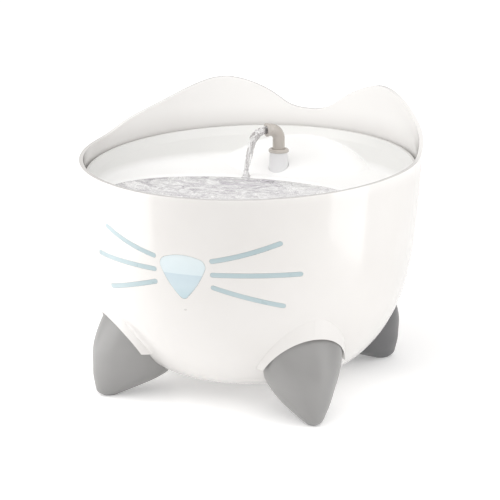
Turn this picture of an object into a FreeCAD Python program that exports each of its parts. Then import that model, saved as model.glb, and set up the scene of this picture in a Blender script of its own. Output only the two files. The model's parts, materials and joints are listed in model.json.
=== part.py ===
import FreeCAD, Part

import math
import os

Vector = FreeCAD.Vector
UP = Vector(0, 0, 1)
BACK = Vector(0, 1, 0)

# Pet water fountain in the shape of a round bowl with two ears, a nose and whiskers.
# Millimetres. Z is up, the front faces -Y, and the origin is on the ground below the bowl's axis.

# Bowl: outside of the wall, from the flat underside to the ears
rim_radius = 114.8
shoulder_height = 138.2      # where the wall has the rim radius
belly_inset = 2.85           # the belly is this much narrower than the rim
belly_height = 102.2
top_outset = 1.0             # the ears stand this much further out than the rim radius
bowl_wall = 2.6
bowl_underside = 12.5
bowl_flat_radius = 49.7
floor_sweep = 23.4           # how far the curve leaves the flat before it turns up
belly_sweep = 66.2           # how far it follows the wall's direction below the belly

# Rim and ears
rim_height = 159.3           # front rim's plane over the bowl's axis
rim_tilt = 3.94              # degrees, the rim and the dish are lower at the front
rim_round = 0.9
# degrees round from the back, height above the rim's plane
ear_line = [(0, 2.85), (12.5, 11.9), (24, 23.4), (32.5, 26.9), (42, 23.6), (57, 13.7), (75, 5.0), (92, 0)]

# Dish
dish_drop = 9.9              # below the rim's plane
dish_play = 0.5
dish_lip = 1.8
dish_step = 6.0              # height of the lip above the shoulder that it rests on
dish_shoulder = 2.0
dish_wall = 2.2
dish_depth = 15.4            # from the dish's plane to its floor, over the bowl's axis
dish_draft = 0.165           # how fast the wall closes in below the shoulder
dish_corner = 5.0
seat_gap = 0.3
ledge_thickness = 3.2
ledge_play = 0.4

# Drinking basin in the dish's floor
basin_centre_y = -27.0
basin_half_width = 95.0
basin_half_length = 63.0
basin_depth = 5.5
basin_slope_run = 14.0
drain_count = 9
drain_width = 3.0
drain_length = 13.0
drain_pitch = 8.0

# Mound at the back of the dish, over the pump
mound_radius = 104.0
mound_centre_y = 100.0
mound_rise = 17.0

# Pedestal and spout
spout_y = 52.0
spout_turn = 45.0            # degrees that the spout points to the left of straight ahead
pedestal_height = 15.0       # collar above the dish's floor
pedestal_top_radius = 6.4
pedestal_foot_radius = 7.1
socket_depth = 8.0
socket_wall = 2.1
collar_radius = 7.2
collar_height = 2.4
tube_radius = 4.3
tube_wall = 1.4
tube_bend = 7.0
tube_rise = 10.5             # straight length above the collar
mouth_length = 1.6
mouth_lip = 0.5
flange_radius = 5.3
flange_height = 1.8
turning_play = 0.3

# Riser
riser_radius = 5.0
riser_wall = 1.6
coupling_wall = 1.9
coupling_grip = 10.0
coupling_reach = 14.0

# Nose window: two upper corners and the tip, joined by bulging sides
nose_corner = (10.4, 107.6)
nose_corner_radius = 5.2
nose_tip = (0.0, 88.3)
nose_tip_radius = 3.0
nose_top_bulge = 35.0
nose_side_bulge = 60.0
nose_skin = 2.2
nose_skirt = 1.6
nose_play = 0.15
nose_flange = 2.5
nose_flange_thickness = 1.6
nose_seal_thickness = 0.6
nose_collar = 4.0
nose_lug_radius = 3.6
nose_lugs = [(-20.5, 113.0), (20.5, 113.0), (0, 78.6)]
nose_frame_thickness = 1.8
nose_screw_radius = 1.2
nose_screw_head = 2.3

# Whiskers: inner end, middle and outer end on the right half of the face
whisker_width = 3.2
whisker_depth = 1.2
whisker_play = 0.1
whisker_lines = {
    "upper": [(19.9, 112.0), (40.0, 117.0), (59.5, 123.9)],
    "middle": [(19.9, 103.0), (45.0, 103.2), (69.5, 103.2)],
    "lower": [(19.9, 94.5), (38.8, 88.7), (59.5, 82.4)],
}

# Feet, at 45 degrees to the front
foot_reach = 2.0             # the foot's face is this much further out than the belly
foot_seam_radius = 30.0      # round seam between a foot and the bowl
foot_seam_height = 27.0
foot_socket_reach = 8.0      # the socket's upright wall lies this far inside the foot's face
foot_socket_length = 24.2
foot_socket_half_width = 31.0
foot_socket_base = 35.0
foot_socket_top = 78.0
foot_gap = 0.1
foot_clear_of_ground = 0.9
# height, inset of the outer face, length inwards, half width
foot_stations = [
    (0.0, 6.6, 9.2, 3.6),
    (2.0, 2.6, 20.0, 6.2),
    (6.0, 1.1, 34.0, 10.2),
    (12.0, 0.2, 50.0, 15.4),
    (21.0, 0.0, 60.0, 20.6),
    (32.0, 0.6, 62.0, 25.6),
    (43.0, 4.0, 60.0, 28.6),
    (53.0, 9.2, 52.0, 29.6),
    (60.0, 14.5, 44.0, 29.6),
]
pad_half_length = 5.4
pad_half_width = 3.9
pad_height = 3.2
pad_inset = 11.2             # centre of the pad inside the foot's face
foot_screw_inset = 34.0      # screw axis inside the foot's face
foot_screw_radius = 1.5
foot_screw_head = 3.0
foot_screw_head_height = 2.2
foot_screw_seat = 14.0
foot_boss_radius = 4.5
foot_boss_height = 10.0
screw_play = 0.05

# Filter housing
housing_legs = 9.0           # floor of the housing above the bowl's floor
housing_half_width = 31.0
housing_back = 18.0          # behind the spout's axis
housing_length = 84.0
housing_height = 50.0
housing_wall = 2.0
housing_back_corner = 16.0
housing_front_corner = 4.0
housing_lid_thickness = 2.0
housing_leg_radius = 4.0
housing_leg_half_width = 22.0
intake_slots = 7
intake_slot_width = 3.0
intake_slot_pitch = 7.0
cartridge_thickness = 12.0
cartridge_play = 0.8
cartridge_frame_wall = 2.0
foam_share = 5.6

# Pump
cup_height = 4.0
cup_radius = 5.0
pump_half_width = 21.0
pump_length = 34.0
pump_height = 30.3
pump_base_thickness = 2.0
pump_wall = 2.0
motor_to_spout = 10.0        # the motor ends this far in front of the spout's axis
axis_above_pump = 18.0
well_radius = 9.0
well_wall = 1.2
magnet_radius = 8.4
shaft_radius = 1.2
bearing_play = 0.05
impeller_radius = 11.0
impeller_blades = 6
blade_thickness = 1.4
chamber_radius = 13.0
chamber_depth = 15.4
volute_half_width = 17.0
volute_depth = 18.0
nozzle_radius = 5.0
nozzle_bore = 3.1
nozzle_top = 28.0            # above the pump's top
intake_bore = 6.5
dial_radius = 8.6
dial_thickness = 1.5
dial_lever = 18.5
cover_depth = 6.0
cover_wall = 2.0
gland_radius = 3.5
gland_bore = 1.9

# Cable outlet in the back of the bowl
outlet_height = 121.0
outlet_hole = 4.6
outlet_bore = 2.0
outlet_flange = 6.6
outlet_flange_thickness = 1.4

# Places that follow from the sizes above
belly_radius = rim_radius - belly_inset
wall_top = rim_height + max(rise for _, rise in ear_line) + 14
dish_plane = rim_height - dish_drop
dish_floor = dish_plane - dish_depth
tilt_slope = math.tan(math.radians(rim_tilt))
foot_face = belly_radius + foot_reach
collar_base = dish_floor + pedestal_height
bowl_floor = bowl_underside + bowl_wall
housing_floor = bowl_floor + housing_legs + housing_wall
housing_rear = spout_y + housing_back
housing_front = housing_rear - housing_length
housing_top = housing_floor - housing_wall + housing_height
pump_bottom = housing_floor + cup_height
pump_top = pump_bottom + pump_base_thickness + pump_height
pump_axis = pump_bottom + axis_above_pump
motor_back = spout_y - motor_to_spout
motor_front = motor_back - pump_length
nozzle_end = pump_top + nozzle_top
riser_foot = nozzle_end + 4


# Small helpers

def rod(radius, start, end):
    """A cylinder between two points."""
    start, end = Vector(*start), Vector(*end)
    return Part.makeCylinder(radius, (end - start).Length, start, end - start)


def tube(outer, inner, start, end):
    return rod(outer, start, end).cut(rod(inner, start, end))


def box(low, high):
    size = Vector(*high) - Vector(*low)
    return Part.makeBox(size.x, size.y, size.z, Vector(*low))


def upright_edges(shape, test=lambda point: True):
    """Edges that run along Z and start where the test holds."""
    edges = []
    for edge in shape.Edges:
        direction = edge.tangentAt(edge.FirstParameter)
        if abs(direction.z) > 0.99 and test(edge.Vertexes[0].Point):
            edges.append(edge)
    return edges


def turned(outline):
    """Solid of revolution about Z from a closed list of (radius, height) corners."""
    points = [Vector(radius, 0, height) for radius, height in outline]
    face = Part.Face(Part.makePolygon(points + points[:1]))
    return face.revolve(Vector(0, 0, 0), UP, 360)


def oval(centre, half_x, half_y, points=12):
    """A smooth oval wire about the centre, in a level plane."""
    round_it = []
    for index in range(points):
        angle = 2 * math.pi * index / points
        round_it.append(Vector(*centre) + Vector(half_x * math.cos(angle), half_y * math.sin(angle), 0))
    curve = Part.BSplineCurve()
    curve.interpolate(Points=round_it, PeriodicFlag=True)
    return Part.Wire([curve.toShape()])


def on_dish_plane(shape):
    """Puts a shape that was made about Z on the tilted plane of the dish."""
    tilt = FreeCAD.Rotation(Vector(1, 0, 0), rim_tilt)
    return shape.transformGeometry(FreeCAD.Placement(Vector(0, 0, dish_plane), tilt).toMatrix())


def moved(shape, placement):
    copy = shape.copy()
    copy.Placement = placement.multiply(copy.Placement)
    return copy


def about_z(shape, degrees):
    return moved(shape, FreeCAD.Placement(Vector(0, 0, 0), FreeCAD.Rotation(UP, degrees)))


def mirrored(points):
    return [(-x, z) for x, z in points]


# Bowl

def wall_points(inset):
    """Belly, shoulder and top of the bowl's wall, moved inwards square to the wall."""
    outside = [
        Vector(belly_radius, 0, belly_height),
        Vector(rim_radius, 0, shoulder_height),
        Vector(rim_radius + top_outset, 0, wall_top),
    ]
    centre = Part.Arc(*outside).toShape().Curve.Center
    return [point + (centre - point).normalize() * inset for point in outside]


def bowl_curves(inset):
    """Flat floor, lower curve and upper wall of the bowl's outline."""
    belly, shoulder, top = wall_points(inset)
    wall = Part.Arc(belly, shoulder, top)
    rising = Vector(*wall.tangent(wall.parameter(belly))[0])
    if rising.z < 0:
        rising = rising * -1
    height = bowl_underside + inset
    flat_end = Vector(bowl_flat_radius, 0, height)
    flat = Part.LineSegment(Vector(0, 0, height), flat_end)
    lower = Part.BezierCurve()
    lower.setPoles([flat_end, flat_end + Vector(floor_sweep, 0, 0), belly - rising * belly_sweep, belly])
    return flat, lower, wall


def wall_radius(height, inset=0):
    """Radius of the bowl's wall at a height."""
    _, lower, wall = bowl_curves(inset)
    if height >= wall_points(inset)[0].z:
        circle = wall.toShape().Curve
        drop = height - circle.Center.z
        return circle.Center.x + math.sqrt(circle.Radius ** 2 - drop ** 2)
    low, high = 0.0, 1.0
    for _ in range(40):
        middle = (low + high) / 2
        if lower.value(middle).z < height:
            low = middle
        else:
            high = middle
    return lower.value(low).x


def underside_height(radius, inset=0):
    """Height of the bowl's lower curve at a radius."""
    _, lower, _ = bowl_curves(inset)
    low, high = 0.0, 1.0
    for _ in range(40):
        middle = (low + high) / 2
        if lower.value(middle).x < radius:
            low = middle
        else:
            high = middle
    return lower.value(low).z


def bowl_form(inset, cap=0):
    """The bowl's whole round body, moved inwards by the inset."""
    flat, lower, wall = bowl_curves(inset)
    end = wall_points(inset)[2]
    top = Vector(end.x, 0, end.z + cap)
    edges = [flat.toShape(), lower.toShape(), wall.toShape()]
    if cap:
        edges.append(Part.makeLine(end, top))
    edges.append(Part.makeLine(top, Vector(0, 0, top.z)))
    edges.append(Part.makeLine(Vector(0, 0, top.z), flat.StartPoint))
    face = Part.Face(Part.Wire(Part.__sortEdges__(edges)))
    return face.revolve(Vector(0, 0, 0), UP, 360)


def rim_line():
    """Points (degrees round from the back, height) once round the rim."""
    knots = [Vector(azimuth, rise, 0) for azimuth, rise in ear_line]
    ear = Part.BSplineCurve()
    ear.interpolate(Points=knots, InitialTangent=Vector(1, 0, 0), FinalTangent=Vector(1, 0, 0))
    steps = 24
    ear_end = ear_line[-1][0]
    half = []
    for step in range(steps + 1):
        point = ear.value(ear.FirstParameter + step / steps * (ear.LastParameter - ear.FirstParameter))
        half.append((point.x, point.y))
    front_steps = 8
    for step in range(1, front_steps + 1):
        half.append((ear_end + (180 - ear_end) * step / front_steps, 0))
    whole = half + [(360 - azimuth, rise) for azimuth, rise in reversed(half[1:-1])]
    line = []
    for azimuth, rise in whole:
        plane = rim_height + tilt_slope * rim_radius * math.cos(math.radians(azimuth))
        line.append((azimuth, plane + rise))
    return line


def above_rim():
    """The space above the rim and the ears, open to the inside and the outside."""
    near, far = rim_radius * 0.8, rim_radius * 1.2
    points = []
    for azimuth, height in rim_line():
        angle = math.radians(azimuth)
        points.append(Vector(near * math.sin(angle), near * math.cos(angle), height))
    curve = Part.BSplineCurve()
    curve.interpolate(Points=points, PeriodicFlag=True)
    inner = curve.toShape()
    spread = FreeCAD.Matrix()
    spread.scale(far / near, far / near, 1)
    outer = inner.transformGeometry(spread)
    surface = Part.makeRuledSurface(inner, outer)
    return surface.extrude(UP * (wall_top - rim_height + rim_radius * tilt_slope + 20))


def ledge():
    """Ring inside the bowl's wall that the dish's shoulder rests on."""
    inner = dish_lip_radius() - dish_shoulder + ledge_play
    outer = rim_radius + top_outset
    top = -dish_step - seat_gap
    low = top - ledge_thickness
    skirt = low - (outer - inner)
    return on_dish_plane(turned([(inner, top), (outer, top), (outer, skirt), (inner, low)]))


def socket_form():
    """Upright oval wall round the top of a foot, for a foot that points along X."""
    reach = foot_face - foot_socket_reach
    centre = (reach - foot_socket_length, 0, foot_socket_base)
    outline = oval(centre, foot_socket_length, foot_socket_half_width)
    wall = Part.Face(outline).extrude(UP * (foot_socket_top - foot_socket_base))
    return wall.cut(seam_cylinder(foot_seam_radius + foot_gap))


def seam_cylinder(radius):
    return rod(radius, (bowl_flat_radius * 0.5, 0, foot_seam_height), (foot_face * 1.2, 0, foot_seam_height))


def foot_angles():
    return {"front_right": -45, "front_left": -135, "back_right": 45, "back_left": 135}


def foot_screw_place():
    return foot_face - foot_screw_inset


def foot_boss_top():
    return underside_height(foot_screw_place(), bowl_wall) + foot_boss_height


def make_bowl():
    body = bowl_form(0)
    for angle in foot_angles().values():
        body = body.fuse(about_z(socket_form(), angle))
    cavity = bowl_form(bowl_wall, cap=10)
    body = body.cut(cavity)
    inside = ledge().fuse(nose_collar_form())
    for angle in foot_angles().values():
        place = foot_screw_place()
        boss = rod(foot_boss_radius, (place, 0, bowl_underside), (place, 0, foot_boss_top()))
        inside = inside.fuse(about_z(boss, angle))
    body = body.fuse(inside.common(bowl_form(bowl_wall / 2)))
    body = body.cut(above_rim())
    for angle in foot_angles().values():
        place = foot_screw_place()
        hole = rod(foot_screw_radius + screw_play, (place, 0, 0), (place, 0, foot_boss_top() - bowl_wall))
        body = body.cut(about_z(hole, angle))
    body = body.cut(nose_prism(0, -rim_radius * 1.2, 0))
    for lug in nose_lugs:
        body = body.cut(nose_screw_hole(lug, nose_screw_radius + screw_play))
    for line in whisker_lines.values():
        for points in (line, mirrored(line)):
            groove = whisker_band(points, whisker_width / 2)
            body = body.cut(groove.cut(bowl_form(whisker_depth)))
    body = body.cut(rod(outlet_hole, (0, spout_y, outlet_height), (0, rim_radius * 1.2, outlet_height)))
    return body.removeSplitter()


# Nose window

def bulging_side(first, first_radius, second, second_radius, bulge):
    """Start, middle and end of the arc that touches two corner circles from outside."""
    first, second = Vector(first[0], 0, first[1]), Vector(second[0], 0, second[1])
    near, far = bulge - first_radius, bulge - second_radius
    span = (second - first).Length
    along = (near ** 2 - far ** 2 + span ** 2) / (2 * span)
    across = math.sqrt(near ** 2 - along ** 2)
    direction = (second - first).normalize()
    centre = first + direction * along + BACK.cross(direction) * across
    start = centre + (first - centre).normalize() * bulge
    end = centre + (second - centre).normalize() * bulge
    middle = centre + ((start + end) / 2 - centre).normalize() * bulge
    return start, middle, end


def nose_wire(offset):
    """Rounded triangle of six arcs, grown evenly by the offset."""
    left = (-nose_corner[0], nose_corner[1])
    corner, tip = nose_corner_radius + offset, nose_tip_radius + offset
    side = nose_side_bulge + offset
    sides = [
        bulging_side(left, corner, nose_corner, corner, nose_top_bulge + offset),
        bulging_side(nose_corner, corner, nose_tip, tip, side),
        bulging_side(nose_tip, tip, left, corner, side),
    ]
    turns = [(nose_corner, corner), (nose_tip, tip), (left, corner)]
    edges = []
    for index, (centre, radius) in enumerate(turns):
        start = sides[index][2]
        end = sides[(index + 1) % 3][0]
        middle = Vector(centre[0], 0, centre[1])
        outward = ((start - middle) + (end - middle)).normalize()
        edges.append(Part.Arc(*sides[index]).toShape())
        edges.append(Part.Arc(start, middle + outward * radius, end).toShape())
    return Part.Wire(Part.__sortEdges__(edges))


def nose_prism(offset, start, end):
    """The nose's outline, grown by an offset, between two places along Y."""
    face = Part.Face(nose_wire(offset))
    if face.normalAt(0, 0).y * (end - start) < 0:
        face.reverse()
    face.translate(Vector(0, start, 0))
    return face.extrude(Vector(0, end - start, 0))


def nose_seat():
    """Place along Y of the flat seat inside the bowl, just clear of the wall at the lowest lug."""
    lowest = min(z for _, z in nose_lugs) - nose_lug_radius
    return -wall_radius(lowest, bowl_wall) + 1.0


def nose_screw_hole(lug, radius):
    return rod(radius, (lug[0], nose_seat() - 4.2, lug[1]), (lug[0], nose_seat() + 20, lug[1]))


def nose_collar_form():
    """Flat-faced rim inside the bowl round the nose, with lugs for the screws."""
    form = nose_prism(nose_collar, -rim_radius, nose_seat())
    for x, z in nose_lugs:
        form = form.fuse(rod(nose_lug_radius, (x, -rim_radius, z), (x, nose_seat(), z)))
    return form


def make_nose_window():
    seat = nose_seat() + nose_seal_thickness
    plug = nose_prism(-nose_play, -rim_radius * 1.2, seat).common(bowl_form(0))
    hollow = nose_prism(-nose_play - nose_skirt, -rim_radius * 1.2, seat + 5).common(bowl_form(nose_skin))
    flange = nose_prism(nose_flange, seat, seat + nose_flange_thickness)
    flange = flange.cut(nose_prism(-nose_play - nose_skirt, seat - 1, seat + 5))
    return plug.cut(hollow).fuse(flange).removeSplitter()


def make_nose_seal():
    seat = nose_seat()
    ring = nose_prism(nose_flange, seat, seat + nose_seal_thickness)
    return ring.cut(nose_prism(nose_play, seat - 1, seat + 5))


def nose_frame_start():
    return nose_seat() + nose_seal_thickness + nose_flange_thickness


def make_nose_frame():
    """Ring that presses the window's flange on its seal, with spacers down to the lugs."""
    start = nose_frame_start()
    end = start + nose_frame_thickness
    ring = nose_prism(nose_collar, start, end)
    for x, z in nose_lugs:
        ring = ring.fuse(rod(nose_lug_radius, (x, start, z), (x, end, z)))
    ring = ring.cut(nose_prism(-nose_play - nose_skirt, start - 1, end + 1))
    for lug in nose_lugs:
        ring = ring.cut(nose_screw_hole(lug, nose_screw_radius + screw_play))
        foot = tube(nose_lug_radius - 1, nose_screw_radius + screw_play,
                    (lug[0], nose_seat(), lug[1]), (lug[0], start, lug[1]))
        ring = ring.fuse(foot.cut(nose_prism(nose_flange + nose_play, nose_seat() - 1, start)))
    return ring.removeSplitter()


def make_nose_screws():
    end = nose_frame_start() + nose_frame_thickness
    screws = []
    for x, z in nose_lugs:
        shank = rod(nose_screw_radius, (x, nose_seat() - 4, z), (x, end, z))
        screws.append(shank.fuse(rod(nose_screw_head, (x, end, z), (x, end + 1.4, z))))
    return Part.makeCompound(screws)


# Whiskers

def whisker_band(points, half_width):
    """A curved strip with round ends, as a prism along Y through the front wall."""
    first, middle, last = [Vector(x, 0, z) for x, z in points]
    line = Part.Arc(first, middle, last)
    sides = {1: [], -1: []}
    along = []
    for point in (first, middle, last):
        direction = Vector(*line.tangent(line.parameter(point))[0])
        across = direction.cross(BACK).normalize()
        along.append(direction)
        for side in sides:
            sides[side].append(point + across * half_width * side)
    sense = 1 if along[1].dot(last - first) > 0 else -1
    cap_start = first - along[0] * half_width * sense
    cap_end = last + along[2] * half_width * sense
    edges = [
        Part.Arc(*sides[1]).toShape(),
        Part.Arc(sides[1][2], cap_end, sides[-1][2]).toShape(),
        Part.Arc(*sides[-1]).toShape(),
        Part.Arc(sides[-1][0], cap_start, sides[1][0]).toShape(),
    ]
    face = Part.Face(Part.Wire(Part.__sortEdges__(edges)))
    face.translate(Vector(0, -rim_radius * 1.2, 0))
    return face.extrude(Vector(0, rim_radius, 0))


def make_whisker(points):
    band = whisker_band(points, whisker_width / 2 - whisker_play)
    return band.common(bowl_form(0)).cut(bowl_form(whisker_depth - whisker_play))


# Feet

def foot_form():
    """A foot's whole outer form, pointing along X: ovals that narrow to a rounded toe."""
    wires = []
    for height, inset, length, half_width in foot_stations:
        outer = foot_face - inset
        wires.append(oval((outer - length / 2, 0, height), length / 2, half_width))
    return Part.makeLoft(wires, True, False)


def pad_form(grow, bottom, top):
    outline = oval((foot_face - pad_inset, 0, bottom), pad_half_length + grow, pad_half_width + grow)
    return Part.Face(outline).extrude(UP * (top - bottom))


def make_foot():
    place = foot_screw_place()
    foot = foot_form().common(seam_cylinder(foot_seam_radius))
    foot = foot.common(box((0, -60, foot_clear_of_ground), (2 * foot_face, 60, foot_socket_top)))
    foot = foot.cut(bowl_form(-foot_gap))
    foot = foot.cut(pad_form(0, foot_clear_of_ground, pad_height))
    foot = foot.cut(rod(foot_screw_head + 0.4, (place, 0, 0), (place, 0, foot_screw_seat)))
    return foot.cut(rod(foot_screw_radius + 0.2, (place, 0, 0), (place, 0, foot_socket_top)))


def make_foot_pad():
    return pad_form(-screw_play, 0, pad_height)


def make_foot_screws():
    place = foot_screw_place()
    seat = foot_screw_seat
    tip = foot_boss_top() - bowl_wall - 1
    screw = rod(foot_screw_radius, (place, 0, seat), (place, 0, tip))
    head = rod(foot_screw_head, (place, 0, seat - foot_screw_head_height), (place, 0, seat))
    drive = rod(foot_screw_radius * 0.8, (place, 0, 0), (place, 0, seat - foot_screw_head_height / 2))
    screw = screw.fuse(head).cut(drive)
    return Part.makeCompound([about_z(screw, angle) for angle in foot_angles().values()])


# Dish

def dish_lip_radius():
    """The dish's largest radius: it clears the bowl's wall where its lip is lowest."""
    lowest = dish_plane - rim_radius * tilt_slope - dish_step
    return wall_radius(lowest, bowl_wall) - dish_play


def dish_outer():
    """The dish's outside, filled, with the shoulder that rests on the ledge."""
    lip = dish_lip_radius()
    shoulder = lip - dish_shoulder
    deep = dish_depth * 3
    closed = shoulder - (deep - dish_step) * dish_draft
    outline = [(0, 0), (lip, 0), (lip, -dish_step), (shoulder, -dish_step), (closed, -deep), (0, -deep)]
    return on_dish_plane(turned(outline))


def dish_inner(extra=0):
    """The dish's inside: a short flared lip over a wall that closes in towards the floor."""
    lip = dish_lip_radius() - dish_lip
    waist = dish_lip_radius() - dish_shoulder - dish_wall
    deep = dish_depth * 3
    closed = waist - (deep - dish_step) * dish_draft
    outline = [(0, 5), (lip, 5), (lip, 0), (waist, -dish_step), (closed, -deep), (0, -deep)]
    return on_dish_plane(turned(outline))


def level_slab(low, high):
    size = rim_radius * 1.5
    return box((-size, -size, low), (size, size, high))


def mound_sphere(radius):
    centre = Vector(0, mound_centre_y, dish_floor + mound_rise - mound_radius)
    return Part.makeSphere(radius, centre)


def basin_form(grow, top):
    """Oval basin with sloping sides, grown downwards and outwards for its outside."""
    run = basin_slope_run
    upper = oval((0, basin_centre_y, top), basin_half_width + grow, basin_half_length + grow)
    lower = oval((0, basin_centre_y, dish_floor - basin_depth - grow),
                 basin_half_width + grow - run, basin_half_length + grow - run)
    return Part.makeLoft([upper, lower], True, True)


def drain_slots():
    """Row of slots through the front edge of the basin, which set the water's level."""
    slots = []
    front = basin_centre_y - basin_half_length
    for index in range(drain_count):
        x = (index - (drain_count - 1) / 2) * drain_pitch
        start = front - drain_length / 2 + (abs(x) / basin_half_width) ** 2 * basin_half_length / 2
        low = (x - drain_width / 2, start, dish_floor - 2 * basin_depth)
        high = (x + drain_width / 2, start + drain_length, dish_floor + basin_depth / 2)
        slot = box(low, high)
        slots.append(slot.makeFillet(drain_width * 0.49, upright_edges(slot)))
    return Part.makeCompound(slots)


def pedestal_bottom():
    return dish_floor - socket_depth


def make_dish():
    floor_underside = dish_floor - dish_wall
    body = dish_outer().common(level_slab(floor_underside, wall_top))
    body = body.fuse(basin_form(dish_wall, dish_floor - 0.5))
    socket = rod(pedestal_foot_radius + socket_wall, (0, spout_y, pedestal_bottom()), (0, spout_y, dish_floor))
    body = body.fuse(socket)
    cavity = dish_inner().common(level_slab(dish_floor, wall_top))
    low_edges = [edge for edge in cavity.Edges if edge.BoundBox.ZMax < dish_floor + 0.01]
    cavity = cavity.makeFillet(dish_corner, low_edges)
    body = body.cut(cavity.cut(mound_sphere(mound_radius)))
    hollow = mound_sphere(mound_radius - dish_wall).common(dish_inner())
    hollow = hollow.common(level_slab(floor_underside - 1, wall_top))
    body = body.cut(hollow.cut(rod(pedestal_foot_radius + socket_wall, (0, spout_y, 0), (0, spout_y, wall_top))))
    body = body.cut(basin_form(0, dish_floor))
    body = body.cut(drain_slots())
    body = body.cut(rod(pedestal_foot_radius + screw_play, (0, spout_y, 0), (0, spout_y, wall_top)))
    return body.removeSplitter()


def make_pedestal():
    """Frosted post: it stands in the dish's socket and holds the spout's flange below the collar."""
    low = pedestal_bottom()
    pocket = collar_base - flange_height - 4.2
    tail = pocket - 4
    passage = tail - 4
    outline = [
        (riser_radius, low),
        (pedestal_foot_radius, low),
        (pedestal_foot_radius, dish_floor),
        (pedestal_top_radius, collar_base),
        (flange_radius + turning_play / 1.5, collar_base),
        (flange_radius + turning_play / 1.5, pocket),
        (tube_radius + turning_play, pocket),
        (tube_radius + turning_play, tail),
        (riser_radius - riser_wall, tail),
        (riser_radius - riser_wall, passage),
        (riser_radius, passage),
    ]
    return moved(turned(outline), FreeCAD.Placement(Vector(0, spout_y, 0), FreeCAD.Rotation()))


def make_pedestal_seal():
    """Ring under the socket that closes the gap round the pedestal's foot."""
    low = pedestal_bottom()
    return tube(pedestal_foot_radius + socket_wall, riser_radius + screw_play,
                (0, spout_y, low - 1.6), (0, spout_y, low))


def make_collar():
    outline = [
        (tube_radius + turning_play, collar_base),
        (collar_radius - 0.4, collar_base),
        (collar_radius, collar_base + 0.5),
        (collar_radius, collar_base + collar_height - 0.7),
        (collar_radius - 0.7, collar_base + collar_height),
        (tube_radius + turning_play + 0.8, collar_base + collar_height),
        (tube_radius + turning_play, collar_base + collar_height - 0.8),
    ]
    return moved(turned(outline), FreeCAD.Placement(Vector(0, spout_y, 0), FreeCAD.Rotation()))


def make_riser():
    passage = collar_base - flange_height - 12.2
    return tube(riser_radius, riser_radius - riser_wall, (0, spout_y, riser_foot), (0, spout_y, passage))


def make_coupling():
    """Soft sleeve on the riser's lower end, which slips over the pump's nozzle."""
    outer = riser_radius + coupling_wall
    low = riser_foot - coupling_reach
    sleeve = rod(outer, (0, spout_y, low), (0, spout_y, riser_foot + coupling_grip))
    sleeve = sleeve.cut(rod(nozzle_radius + turning_play, (0, spout_y, low), (0, spout_y, riser_foot)))
    return sleeve.cut(rod(riser_radius, (0, spout_y, riser_foot), (0, spout_y, riser_foot + 2 * coupling_grip)))


# Spout

def spout_tail():
    return collar_base - flange_height - 7.4


def spout_bar(radius):
    """The spout's path as a solid bar: upright, bent to the left, with a short mouth."""
    bend_start = collar_base + collar_height + tube_rise - tube_bend / 2
    upright = rod(radius, (0, 0, spout_tail()), (0, 0, bend_start))
    disc = Part.Face(Part.Wire([Part.Circle(Vector(0, 0, bend_start), UP, radius).toShape()]))
    bend = disc.revolve(Vector(0, -tube_bend, bend_start), Vector(1, 0, 0), 90)
    height = bend_start + tube_bend
    mouth = rod(radius, (0, -tube_bend, height), (0, -tube_bend - mouth_length, height))
    return upright.fuse(bend).fuse(mouth)


def spout_mouth_ring():
    height = collar_base + collar_height + tube_rise + tube_bend / 2
    start = -tube_bend - mouth_length
    return rod(tube_radius + mouth_lip, (0, start, height), (0, start - 1.0, height))


def spout_bore():
    height = collar_base + collar_height + tube_rise + tube_bend / 2
    bore = spout_bar(tube_radius - tube_wall)
    return bore.fuse(rod(tube_radius - tube_wall, (0, -tube_bend, height), (0, -2 * tube_bend, height)))


def turned_spout(shape):
    turn = FreeCAD.Rotation(UP, -spout_turn)
    return moved(shape, FreeCAD.Placement(Vector(0, spout_y, 0), turn))


def make_spout():
    top = collar_base - 0.3
    flange = rod(flange_radius, (0, 0, top - flange_height), (0, 0, top))
    body = spout_bar(tube_radius).fuse(flange).fuse(spout_mouth_ring())
    return turned_spout(body.cut(spout_bore()).removeSplitter())


def make_spout_ring():
    height = collar_base - flange_height - 2.4
    ring = Part.makeTorus(tube_radius + 0.5, 0.5, Vector(0, 0, height), UP)
    return turned_spout(ring.cut(rod(tube_radius, (0, 0, 0), (0, 0, collar_base))))


# Filter housing

def housing_plan(shrink, bottom, top):
    half = housing_half_width - shrink
    form = box((-half, housing_front + shrink, bottom), (half, housing_rear - shrink, top))
    back = upright_edges(form, lambda point: point.y > spout_y)
    form = form.makeFillet(housing_back_corner - shrink, back)
    front = upright_edges(form, lambda point: point.y < housing_front + shrink + 0.1)
    return form.makeFillet(housing_front_corner - shrink, front)


def make_housing():
    bottom = housing_floor - housing_wall
    body = housing_plan(0, bottom, housing_top)
    for x in (-housing_leg_half_width, housing_leg_half_width):
        for y in (0, spout_y - 16):
            body = body.fuse(rod(housing_leg_radius, (x, y, bowl_floor), (x, y, bottom + 0.5)))
    body = body.cut(housing_plan(housing_wall, housing_floor, housing_top + 1))
    for index in range(intake_slots):
        x = (index - (intake_slots - 1) / 2) * intake_slot_pitch
        low = (x - intake_slot_width / 2, housing_front - 1, housing_floor + 6)
        high = (x + intake_slot_width / 2, housing_front + housing_wall + 1, housing_top - 6)
        body = body.cut(box(low, high))
    return body


def make_housing_lid():
    top = housing_top + housing_lid_thickness
    lid = housing_plan(0, housing_top, top)
    lip = housing_plan(housing_wall + 0.2, housing_top - 3, housing_top)
    lip = lip.cut(housing_plan(housing_wall + 1.8, housing_top - 4, housing_top + 1))
    lip = lip.cut(box((-housing_half_width, housing_front, 0), (housing_half_width, spout_y - 10, top)))
    lid = lid.fuse(lip)
    lid = lid.cut(rod(nozzle_radius + 0.5, (0, spout_y, 0), (0, spout_y, top + 1)))
    notch = rod(gland_bore + 0.8, (housing_half_width, 20, housing_top - 5), (housing_half_width, 20, top + 1))
    return lid.cut(notch)


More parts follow.
